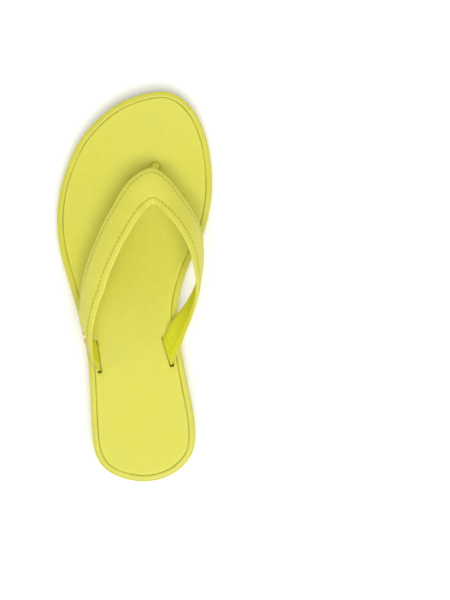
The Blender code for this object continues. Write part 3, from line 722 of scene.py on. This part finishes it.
def make_wrap():
    """Section swept round the outline: wall, rounded shoulder, domed rim and inner lip."""
    shoulder = arc((SHOULDER_RADIUS, -0.75), SHOULDER_RADIUS, 180, 98, 8)
    rim = [(1.8, 0.50), (2.4, 0.55), (2.9, 0.52)]
    lip = arc((RIM_WIDTH - LIP_RADIUS, 0.02), LIP_RADIUS, 75, 0, 5)
    over = [*shoulder, *rim, *lip, (RIM_WIDTH, -1.0), (WALL, -1.0)]
    wall_foot = [(WALL, 3.1), (0.42, 3.05), (0.12, 3.16), (0.0, 3.45)]
    wall_up = np.linspace(0.0, 1.0, 7)[1:-1]
    sections = []
    ys = EDGE[:, 1]
    foot_z = ground(ys)
    bed_z = bed(ys)
    for inset, height in wall_foot:
        sections.append((np.full(OUTLINE_POINTS, inset), foot_z + height))
    low = foot_z + wall_foot[-1][1]
    high = bed_z + shoulder[0][1]
    for share in wall_up:
        bulge = -WALL_BULGE * math.sin(math.pi * share)
        sections.append((np.full(OUTLINE_POINTS, bulge), low + (high - low) * share))
    for inset, height in over:
        sections.append((np.full(OUTLINE_POINTS, inset), bed_z + height))
    walked = np.arange(OUTLINE_POINTS) / OUTLINE_POINTS * EDGE_LENGTH
    ripple = 0.05 * np.sin(walked / 11.0) + 0.04 * np.sin(walked / 4.3 + 1.0)
    seam_at = walked[np.argmin(np.abs(EDGE[:, 0] - SEAM_PLACE[0]) + np.abs(EDGE[:, 1] - SEAM_PLACE[1]))]
    seam = bell(walked - seam_at, SEAM_WIDTH)
    points = np.zeros((len(sections), OUTLINE_POINTS, 3))
    wear = np.zeros((len(sections), OUTLINE_POINTS))
    crevice_shade = np.zeros_like(wear)
    for i, (inset, height) in enumerate(sections):
        on_wall = inset[0] < 0.5
        shift = ripple * 0.3 + seam * 0.3 if on_wall else ripple
        sunk = 0.0 if on_wall or inset[0] > RIM_WIDTH - 0.3 else seam * 0.22
        points[i, :, :2] = EDGE + INWARD * (inset + shift)[:, None]
        points[i, :, 2] = height - sunk
        on_shoulder = i > len(wall_foot) + len(wall_up)
        wear[i] = 0.6 * bell(inset[0] - 0.5, 0.5) if on_shoulder else 0.05
        foot = i < 3
        # Painted shade mask: the groove between lip and cover, the wall's foot by the ground, and the seam
        crevice_shade[i] = 0.3 if inset[0] > RIM_WIDTH - 0.15 or foot else 0.7 * seam
    mesh = grid_mesh("rim_wrap", points, ring=True)
    store(mesh, "wear", wear.ravel())
    store(mesh, "crevice_shade", crevice_shade.ravel())
    wrap = new_piece("rim_wrap", mesh, WRAP_LEATHER, 50.0)
    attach(wrap, "sole")
    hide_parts("sole_wrap")


# ---- Footbed cover ----
SLOT_WIDTH = 3.2
SLOT_REAR_EXTRA = 1.9
CUTTER_TOP = 40.0
HOLE_SIDES = 32
TUCK, TUCK_REACH = 0.32, 0.45
CROWN_EDGE, CROWN_RISE, CROWN_REACH = 0.30, 0.15, 16.0
POST_PRESS, POST_PRESS_REACH = 0.55, 4.2
SLOT_PRESS, SLOT_PRESS_REACH = 0.4, 2.6
COVER_INSET = RIM_WIDTH + COVER_GAP
COVER_COLUMNS = np.arange(-48.0, 49.0, 1.9)
COVER_ROWS = np.arange(-120.0, 121.0, 2.1)
# Each dish: x, y, reach along x, reach along y, depth
HEEL_DISH = (13.0, -88.0, 22.0, 26.0, 0.45)
BALL_DISH = (2.0, 48.0, 30.0, 24.0, 0.25)


def slot_ends(rungs):
    return np.array(rungs[0][0][:2]), np.array(rungs[0][1][:2])


def make_slot_cutter(rungs, inward, front_extra, shift):
    """Long hole with round ends, a little wider on the inner side of the band."""
    front, rear = slot_ends(rungs)
    line = (rear - front) / np.linalg.norm(rear - front)
    side = np.array([line[1], -line[0]]) * inward * shift
    radius = SLOT_WIDTH / 2
    start = front - line * (front_extra - radius) + side
    end = rear + line * (SLOT_REAR_EXTRA - radius) + side
    ring = []
    for centre, turn in ((end, 0.0), (start, math.pi)):
        for k in range(9):
            angle = math.atan2(line[1], line[0]) - math.pi / 2 + turn + math.pi * k / 8
            ring.append(centre + radius * np.array([math.cos(angle), math.sin(angle)]))
    return prism("slot_cutter", np.array(ring))


def prism(name, ring):
    """Upright cutter through the whole sole."""
    rows = [np.column_stack([ring, np.full(len(ring), z)]) for z in (0.0, CUTTER_TOP)]
    return add_object(name, grid_mesh(name, np.array(rows), capped=True))


def round_ring(centre, radius):
    angles = np.arange(HOLE_SIDES) / HOLE_SIDES * math.tau
    return np.column_stack([centre[0] + radius * np.cos(angles), centre[1] + radius * np.sin(angles)])


def press_marks(xy):
    """How far the cover is pulled down round the slots and the post hole."""
    sunk = POST_PRESS * bell(np.linalg.norm(xy - np.array(POST_BASE), axis=1), POST_PRESS_REACH)
    for rungs in (LATERAL_RUNGS, MEDIAL_RUNGS):
        sunk = sunk + SLOT_PRESS * bell(distance_to_segment(xy, *slot_ends(rungs)), SLOT_PRESS_REACH)
    return sunk


def dish(xy, x, y, reach_x, reach_y, sink):
    """Shallow hollow worn into the footbed."""
    return sink * np.exp(-(((xy[:, 0] - x) / reach_x) ** 2 + ((xy[:, 1] - y) / reach_y) ** 2))


def make_cover():
    steps = (0.0, 0.15, 0.4, 0.8, 1.4, 2.4, 4.0)
    bm = flat_sheet([COVER_INSET + step for step in steps], COVER_COLUMNS, COVER_ROWS)

    def top(xy, depth):
        inner = depth - COVER_INSET
        tuck = TUCK * np.exp(-np.maximum(inner, 0.0) / TUCK_REACH)
        crown = CROWN_EDGE + CROWN_RISE * smoothstep(inner / CROWN_REACH)
        hollows = dish(xy, *HEEL_DISH) + dish(xy, *BALL_DISH)
        return bed(xy[:, 1]) + crown - tuck - hollows - press_marks(xy)

    def bottom(xy, depth):
        return bed(xy[:, 1]) - COVER_THICKNESS - 0.25

    mesh = slab("footbed_sock", bm, top, bottom, {
        "wear": lambda xy, depth, is_top: 0.35 * bell(depth - COVER_INSET - 1.0, 1.0),
        # Painted shade mask: the cover's edge where it tucks down beside the rim
        "crevice_shade": lambda xy, depth, is_top: 0.3 * np.exp(-np.maximum(depth - COVER_INSET, 0.0) / 0.2),
    })
    cover = new_piece("footbed_sock", mesh, FOOTBED_LEATHER, 50.0)
    for cutter in (
        make_slot_cutter(LATERAL_RUNGS, -1.0, front_extra=0.1, shift=0.6),
        make_slot_cutter(MEDIAL_RUNGS, 1.0, front_extra=0.3, shift=0.3),
        prism("post_cutter", round_ring(POST_BASE, POST_HOLE_RADIUS)),
    ):
        apply_cut(cover, cutter)
    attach(cover, "sole")
    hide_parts("footbed_cover")


# ---- Strap ----
HALF_LEATHER = 1.05
LEATHER = 0.8
EDGE_LIFT = 0.1
EDGE_THINNING = 0.36
EDGE_TAPER = 2.0
HEM = 4.2
FRONT_STITCH = 3.1
REAR_STITCH = 4.2
STITCH_PITCH = 3.0
STITCH_LENGTH = 2.25
STITCH_RADIUS = 0.30
STITCH_SUNK = 0.14
STITCH_BOW = 0.16
STITCH_SLANT = 0.10
STITCH_SIDES = 7
FIRST_STITCH_RUNG = 0.3
GROOVE_DEPTH = 0.26
NEEDLE_DEPTH = 0.30
PADDING = 0.12
FACE_START = 1.15
EDGE_ZONE = 6.2
LINING_INSET = 1.7


def band_line(us, distance, from_rear, height):
    """Points and normals of a line at a distance from one edge of the band."""
    widths = strap_width(us)
    v = (1.0 - distance / widths) if from_rear else distance / widths
    normal = strap_normal(us, v)
    return strap_surface(us, v) + normal * height, normal


class StitchLine:
    """One row of stitches: where it runs, and how far along it each part of the band lies."""

    def __init__(self, distance, from_rear):
        self.distance = distance
        self.from_rear = from_rear
        self.us = np.linspace(-1.0, LAST_RUNG + 1.0, 4000)
        height = HALF_LEATHER + EDGE_LIFT - STITCH_SUNK
        self.points, self.normals = band_line(self.us, distance, from_rear, height)
        steps = np.linalg.norm(np.diff(self.points, axis=0), axis=1)
        self.walked = np.concatenate([[0.0], np.cumsum(steps)])

    def to_hole(self, u):
        """Distance along the row to the nearest needle hole."""
        phase = np.mod(np.interp(u, self.us, self.walked), STITCH_PITCH)
        return np.minimum(phase, STITCH_PITCH - phase)

    def at(self, walked, values):
        return np.stack([np.interp(walked, self.walked, values[:, k]) for k in range(3)], axis=1)


FRONT_ROW = StitchLine(FRONT_STITCH, False)
REAR_ROW = StitchLine(REAR_STITCH, True)


def upper_section(width):
    """Closed section of the outer leather: distance from the front edge, height, and 1 on the outer face."""
    outer_top = HALF_LEATHER + EDGE_LIFT
    outer_low = EDGE_LIFT - HALF_LEATHER
    inner_radius = HALF_LEATHER - LEATHER
    outer = [(HEM, outer_low), (2.4, outer_low)]
    outer += arc((HALF_LEATHER, EDGE_LIFT), HALF_LEATHER, 270, 96, 9)
    across = np.concatenate([
        np.linspace(FACE_START, EDGE_ZONE, 18), np.linspace(EDGE_ZONE, width - EDGE_ZONE - 1.0, 10)[1:-1],
        np.linspace(width - EDGE_ZONE - 1.0, width - FACE_START, 20)])
    face = [(s, outer_top) for s in across]
    rest = arc((width - HALF_LEATHER, EDGE_LIFT), HALF_LEATHER, 84, -90, 9)
    rest += [(width - 2.4, outer_low), (width - HEM, outer_low)]
    hem_top = EDGE_LIFT - inner_radius
    face_low = EDGE_LIFT + inner_radius
    rest += [(width - HEM, hem_top)]
    rest += arc((width - HALF_LEATHER, EDGE_LIFT), inner_radius, -90, 90, 4)
    rest += [(width * share, face_low) for share in (0.7, 0.5, 0.3)]
    rest += arc((HALF_LEATHER, EDGE_LIFT), inner_radius, 90, 270, 4)
    rest += [(HEM, hem_top)]
    flags = [0.0] * len(outer) + [1.0] * len(face) + [0.0] * len(rest)
    return np.column_stack([np.array(outer + face + rest), flags])


def lining_section(width):
    """Closed section of the lining: a thin sheet with soft edges, laid over the turned hems."""
    inset = LINING_INSET
    top = EDGE_LIFT - HALF_LEATHER + 0.05
    low = top - 0.42
    middle = [(s, low - 0.12) for s in np.linspace(inset + 0.9, width - inset - 0.9, 10)]
    ring = [(inset, top), (inset + 0.05, low + 0.2), (inset + 0.3, low), *middle,
            (width - inset - 0.3, low), (width - inset - 0.05, low + 0.2), (width - inset, top)]
    back = [(s, top) for s in np.linspace(width - inset - 1.0, inset + 1.0, 6)]
    points = np.array(ring + back)
    return np.column_stack([points, np.zeros(len(points))])


def swell(u, v):
    """Slow unevenness of hand-lasted leather, and bending creases near the slots, in millimetres."""
    slow = 0.09 * np.sin(u * 2.1 + v * 3.0) * np.sin(v * 5.0 + u * 0.7) + 0.04 * np.sin(u * 5.3 - v * 4.0)
    from_slot = np.minimum(u, LAST_RUNG - u)
    creases = 0.11 * np.sin(from_slot * 17.0 + np.sin(v * 5.0)) * bell(from_slot - 0.75, 0.5)
    return slow + creases


def face_relief(u, s, width):
    """Height of the outer face: soft rolled edges, stitch grooves, needle holes and a padded middle."""
    from_rear = width - s
    relief = 0.12 * bell(s - 1.6, 0.9) + 0.05 * bell(from_rear - 2.2, 1.2)
    relief = relief - GROOVE_DEPTH * bell(s - FRONT_STITCH, 0.36)
    relief = relief - GROOVE_DEPTH * bell(from_rear - REAR_STITCH, 0.36)
    relief = relief - NEEDLE_DEPTH * bell(s - FRONT_STITCH, 0.40) * bell(FRONT_ROW.to_hole(u), 0.42)
    relief = relief - NEEDLE_DEPTH * bell(from_rear - REAR_STITCH, 0.40) * bell(REAR_ROW.to_hole(u), 0.42)
    padding = smoothstep((s - FRONT_STITCH - 0.3) / 2.2) * smoothstep((from_rear - REAR_STITCH - 0.3) / 2.2)
    return relief + PADDING * padding


def sweep_band(name, section, material):
    """Sweep a section that depends on the band's width along the whole strap."""
    us = np.linspace(-1.0, LAST_RUNG + 1.0, (LAST_RUNG + 2) * COLUMNS_PER_RUNG + 1)
    widths = strap_width(us)
    sections = np.array([section(width) for width in widths])
    s, height, on_face = np.moveaxis(sections, 2, 0)
    u = np.broadcast_to(us[:, None], s.shape)
    width = widths[:, None]
    v = s / width
    thinning = 1.0 - EDGE_THINNING * bell(np.minimum(s, width - s), EDGE_TAPER)
    height = EDGE_LIFT + (height - EDGE_LIFT) * thinning
    height = height + on_face * face_relief(u, s, width) + swell(u, v)
    points = strap_surface(u, v) + strap_normal(u, v) * height[..., None]
    mesh = grid_mesh(name, points, capped=True)
    holes = bell(s - FRONT_STITCH, 0.45) * bell(FRONT_ROW.to_hole(u), 0.45)
    holes = holes + bell(width - s - REAR_STITCH, 0.45) * bell(REAR_ROW.to_hole(u), 0.45)
    grooves = bell(s - FRONT_STITCH, 0.5) + bell(width - s - REAR_STITCH, 0.5)
    store(mesh, "wear", (0.55 * bell(s, 1.1) + 0.25 * bell(width - s, 1.0)).ravel())
    # Painted shade mask: the stitch grooves and needle holes on the outer face
    store(mesh, "crevice_shade", (on_face * np.clip(grooves * 0.3 + holes, 0.0, 1.0)).ravel())
    return new_piece(name, mesh, material, 60.0)


def bend_with_strap(piece):
    """Bake the piece's placement into its mesh."""
    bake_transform(piece)


def stitch_mesh(name, places, along, up):
    """Row of short rounded stitches, each sunk at its ends; all in one mesh."""
    shares = np.array([-1.0, -0.86, -0.45, 0.0, 0.45, 0.86, 1.0])
    radii = np.array([0.25, 0.75, 1.0, 1.0, 1.0, 0.75, 0.25]) * STITCH_RADIUS
    vertices = []
    faces = []
    for place, direction, normal in zip(places, along, up):
        side = np.cross(normal, direction)
        base = len(vertices)
        for share, r in zip(shares, radii):
            bow = STITCH_BOW * (1.0 - share ** 2) - STITCH_BOW / 2
            centre = place + direction * (share * STITCH_LENGTH / 2) + normal * bow
            for k in range(STITCH_SIDES):
                a = math.tau * k / STITCH_SIDES
                vertices.append(tuple((centre + (side * math.cos(a) + normal * math.sin(a)) * r) * MM))
        faces += grid_faces(len(shares), STITCH_SIDES, base, capped=True)
    return mesh_facing_out(name, vertices, faces)


def make_stitches(name, row):
    first, last = np.interp((FIRST_STITCH_RUNG, LAST_RUNG - FIRST_STITCH_RUNG), row.us, row.walked)
    count = np.arange(math.ceil(first / STITCH_PITCH), math.floor(last / STITCH_PITCH))
    middles = (count + 0.5) * STITCH_PITCH
    half = STITCH_LENGTH / 2
    up = row.at(middles, row.normals)
    along = unit(row.at(middles + half, row.points) - row.at(middles - half, row.points))
    along = unit(along + np.cross(up, along) * STITCH_SLANT)
    mesh = stitch_mesh(name, row.at(middles, row.points), along, up)
    stitches = new_piece(name, mesh, THREAD, 60.0)
    bend_with_strap(stitches)


def make_strap():
    band = sweep_band("strap_band", upper_section, UPPER_LEATHER)
    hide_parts("strap_upper")
    bend_with_strap(band)
    lining = sweep_band("strap_inner", lining_section, LINING_LEATHER)
    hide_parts("strap_lining")
    bend_with_strap(lining)
    make_stitches("front_stitches", FRONT_ROW)
    make_stitches("rear_stitches", REAR_ROW)


# ---- Toe post ----
POST_STEPS = 14
POST_BEND = np.array([0.5, 1.5, 0.0])
POST_FOOT_DEPTH = 4.5
POST_STRAIGHT = 3.0
POST_SIDES = 64


def post_path():
    base = np.array([*POST_BASE, float(bed(POST_BASE[1]))])
    u = np.array([float(VERTEX_INDEX)])
    v = np.array([POST_ACROSS])
    top = strap_surface(u, v)[0] - strap_normal(u, v)[0] * POST_SINK
    lean = base + (top - base) * 0.5 + POST_BEND
    low = base - np.array([0.0, 0.0, POST_FOOT_DEPTH])
    knee = base + np.array([0.0, 0.0, POST_STRAIGHT])
    points = np.array([low * 2 - knee, low, knee, lean, top, top * 2 - lean])
    path = []
    for i in range(3):
        for t in np.linspace(0.0, 1.0, POST_STEPS, endpoint=False):
            path.append(catmull_rom(*points[i:i + 4], t))
    path.append(points[4])
    return np.array(path)


def sweep_tube(path, radius_at, sides):
    """Rings along a path; radius_at(share, angle) gives the radius, and +Y is kept to the tube's front."""
    rings = []
    angles = np.arange(sides) / sides * math.tau
    for i, point in enumerate(path):
        direction = path[min(i + 1, len(path) - 1)] - path[max(i - 1, 0)]
        direction /= np.linalg.norm(direction)
        side = np.cross(np.array([0.0, 1.0, 0.0]), direction)
        side /= np.linalg.norm(side)
        front = np.cross(direction, side)
        spokes = side * np.cos(angles)[:, None] + front * np.sin(angles)[:, None]
        rings.append(point + spokes * radius_at(i / (len(path) - 1), angles)[:, None])
    return np.array(rings)


def fit_under_band(rings):
    """Flatten the tube's upper end against the band, so that it stops inside the leather."""
    u = np.array([float(VERTEX_INDEX)])
    v = np.array([POST_ACROSS])
    seat = strap_surface(u, v)[0]
    normal = strap_normal(u, v)[0]
    above = (rings - seat) @ normal + POST_SINK
    above[:-1] = np.maximum(above[:-1], 0.0)
    return rings - above[..., None] * normal


def make_post():
    def radius_at(share, angles):
        """Flared, gathered top, fine creases half way up, and a lapped seam down the back."""
        flare = 0.75 * smoothstep((share - 0.72) / 0.28)
        creases = 0.05 * math.sin(share * 31.0 + 1.0) + 0.03 * math.sin(share * 53.0)
        creases = creases * bell(share - 0.55, 0.28) * (1.0 + 0.5 * np.cos(angles * 3.0))
        turned = np.mod(angles + 0.7, math.tau)
        seam = 0.26 * bell(turned - 4.6, 0.35) - 0.16 * bell(turned - 5.05, 0.16)
        gathers = 0.13 * np.sin(angles * 7.0 + share * 5.0) + 0.09 * np.sin(angles * 4.0 - share * 7.0)
        gathers = gathers * smoothstep((share - 0.3) / 0.3)
        spread = 0.6 * smoothstep((share - 0.7) / 0.3) * np.abs(np.cos(angles))
        return POST_RADIUS - 0.12 + flare + creases + seam + gathers + spread

    rings = fit_under_band(sweep_tube(post_path(), radius_at, POST_SIDES))
    mesh = grid_mesh("toe_post_leather", rings, capped=True)
    shares = np.repeat(np.linspace(0.0, 1.0, len(rings)), POST_SIDES)
    store(mesh, "wear", 0.4 * bell(shares - 0.9, 0.12))
    # Painted shade mask: a little all over, more in the crease troughs
    store(mesh, "crevice_shade", 0.10 + 0.12 * np.sin(shares * 31.0 + 1.0 + math.pi) * bell(shares - 0.55, 0.25))
    post = new_piece("toe_post_leather", mesh, UPPER_LEATHER, 60.0)
    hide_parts("toe_post_wrap", "toe_post_core")
    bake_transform(post)


# ---- Emblem ----
def make_turned_on_band(name, profile, half_length, half_width):
    """Turn a profile of (share of the radius, height) into an oval that lies along the band's curve."""
    u0 = np.array([EMBLEM_RUNG])
    v0 = np.array([EMBLEM_ACROSS])
    per_rung = np.linalg.norm(strap_surface(u0 + 0.05, v0) - strap_surface(u0 - 0.05, v0)) / 0.1
    width = strap_width(u0)[0]
    angles = np.arange(EMBLEM_SIDES) / EMBLEM_SIDES * math.tau
    rings = []
    for share, height in profile:
        u = EMBLEM_RUNG + np.cos(angles) * max(share, 0.001) * half_length / per_rung
        v = EMBLEM_ACROSS + np.sin(angles) * max(share, 0.001) * half_width / width
        rings.append(strap_surface(u, v) + strap_normal(u, v) * height)
    return grid_mesh(name, np.array(rings), capped=True)


def make_emblem():
    seat = HALF_LEATHER + EDGE_LIFT + EMBLEM_LIFT
    profile = [(0.0, seat - 0.15), (0.97, seat - 0.15), (1.0, seat), (1.0, seat + 0.35), (0.975, seat + 0.5),
               (0.90, seat + 0.55), (0.86, seat + 0.5), (0.83, seat + 0.36)]
    for a in np.radians(np.linspace(4, 90, 12)):
        profile.append((0.80 * math.cos(a), seat + 0.36 + 0.75 * math.sin(a)))
    mesh = make_turned_on_band("emblem_dome", profile, EMBLEM_HALF_LENGTH, EMBLEM_HALF_WIDTH)
    stud = new_piece("emblem_dome", mesh, GOLD, 50.0)
    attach(stud, "strap")
    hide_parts("emblem_stud")
    low = EDGE_LIFT - HALF_LEATHER - RIVET_DROP
    ring = [(0.0, low + 0.2), (0.92, low + 0.1), (1.0, low - 0.1), (0.96, low - 0.35), (0.73, low - 0.5),
            (0.58, low - 0.38), (0.46, low - 0.42), (0.0, low - 0.42)]
    mesh = make_turned_on_band("emblem_rivet", ring, RIVET_RADIUS, RIVET_RADIUS)
    rivet = new_piece("emblem_rivet", mesh, GOLD, 50.0)
    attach(rivet, "strap")
    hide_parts("emblem_washer")


# ---- CAD nodes that stay ----
def dress_cad_nodes():
    finishes = {
        "midsole": FOAM,
        "footbed_foam": FOAM,
        "insole_board": FIBREBOARD,
        "strap_reinforcement": TAPE,
        "toe_post_washer": NYLON,
        "lateral_strap_tab": LINING_LEATHER,
        "medial_strap_tab": LINING_LEATHER,
        "lateral_tab_tack": STEEL,
        "medial_tab_tack": STEEL,
    }
    for node, material in finishes.items():
        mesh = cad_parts[node].data
        mesh.materials.clear()
        mesh.materials.append(material)
        store_rest(mesh)


# ---- Camera, lights and floor ----
# In metres and degrees, apart from the height of the view at the footbed and the sensor, in millimetres
CAMERA_DISTANCE = 2.0
FRAME_HEIGHT_MM = 383.6
SENSOR = 36.0
CAMERA_XY = (0.0610, -0.0065)
CAMERA_ROLL_DEG = 2.83
SKY_STRENGTH = 0.36
FLOOR_REACH = 4.0
FLOOR_COLOUR = (0.93, 0.925, 0.92, 1.0)

# Each softbox: name, place and side length in metres, and watts
SOFTBOXES = (
    ("heel_softbox", (0.15, -0.56, 1.70), 1.1, 26.5),
    ("toe_softbox", (-0.10, 1.05, 1.25), 1.0, 5.0),
    ("medial_softbox", (1.45, 0.0, 0.7), 0.9, 4.5),
    ("lateral_softbox", (-1.45, 0.0, 0.7), 0.9, 4.5),
)


def make_camera():
    data = bpy.data.cameras.new("camera")
    data.sensor_width = SENSOR
    data.lens = SENSOR * CAMERA_DISTANCE / (FRAME_HEIGHT_MM * MM)
    data.clip_start, data.clip_end = 0.05, 20.0
    camera = add_object("camera", data)
    camera.location = (*CAMERA_XY, CAMERA_DISTANCE + float(bed(0.0)) * MM)
    camera.rotation_euler = (0.0, 0.0, math.radians(CAMERA_ROLL_DEG))
    bpy.context.scene.camera = camera


def make_area_light(name, place, size, watts):
    data = bpy.data.lights.new(name, "AREA")
    data.shape = "SQUARE"
    data.size = size
    data.energy = watts
    light = add_object(name, data)
    light.location = place
    light.rotation_euler = (-Vector(place)).to_track_quat("-Z", "Y").to_euler()
    light.visible_camera = False


def make_studio():
    world = bpy.data.worlds.new("studio")
    world.use_nodes = True
    sky = world.node_tree.nodes["Background"]
    sky.inputs["Color"].default_value = (1.0, 1.0, 1.0, 1.0)
    sky.inputs["Strength"].default_value = SKY_STRENGTH
    bpy.context.scene.world = world
    bpy.context.scene.view_settings.view_transform = "Standard"
    for softbox in SOFTBOXES:
        make_area_light(*softbox)
    mesh = bpy.data.meshes.new("floor")
    corners = [(x * FLOOR_REACH, y * FLOOR_REACH, 0.0) for x, y in ((-1, -1), (1, -1), (1, 1), (-1, 1))]
    mesh.from_pydata(corners, [], [(0, 1, 2, 3)])
    floor = add_object("floor", mesh)
    material = bpy.data.materials.new("floor")
    material.use_nodes = True
    shader = material.node_tree.nodes["Principled BSDF"]
    shader.inputs["Base Color"].default_value = FLOOR_COLOUR
    shader.inputs["Roughness"].default_value = 0.85
    shader.inputs["Specular IOR Level"].default_value = 0.2
    mesh.materials.append(material)


make_camera()
make_studio()
make_outsole()
make_wrap()
make_cover()
make_strap()
make_post()
make_emblem()
dress_cad_nodes()
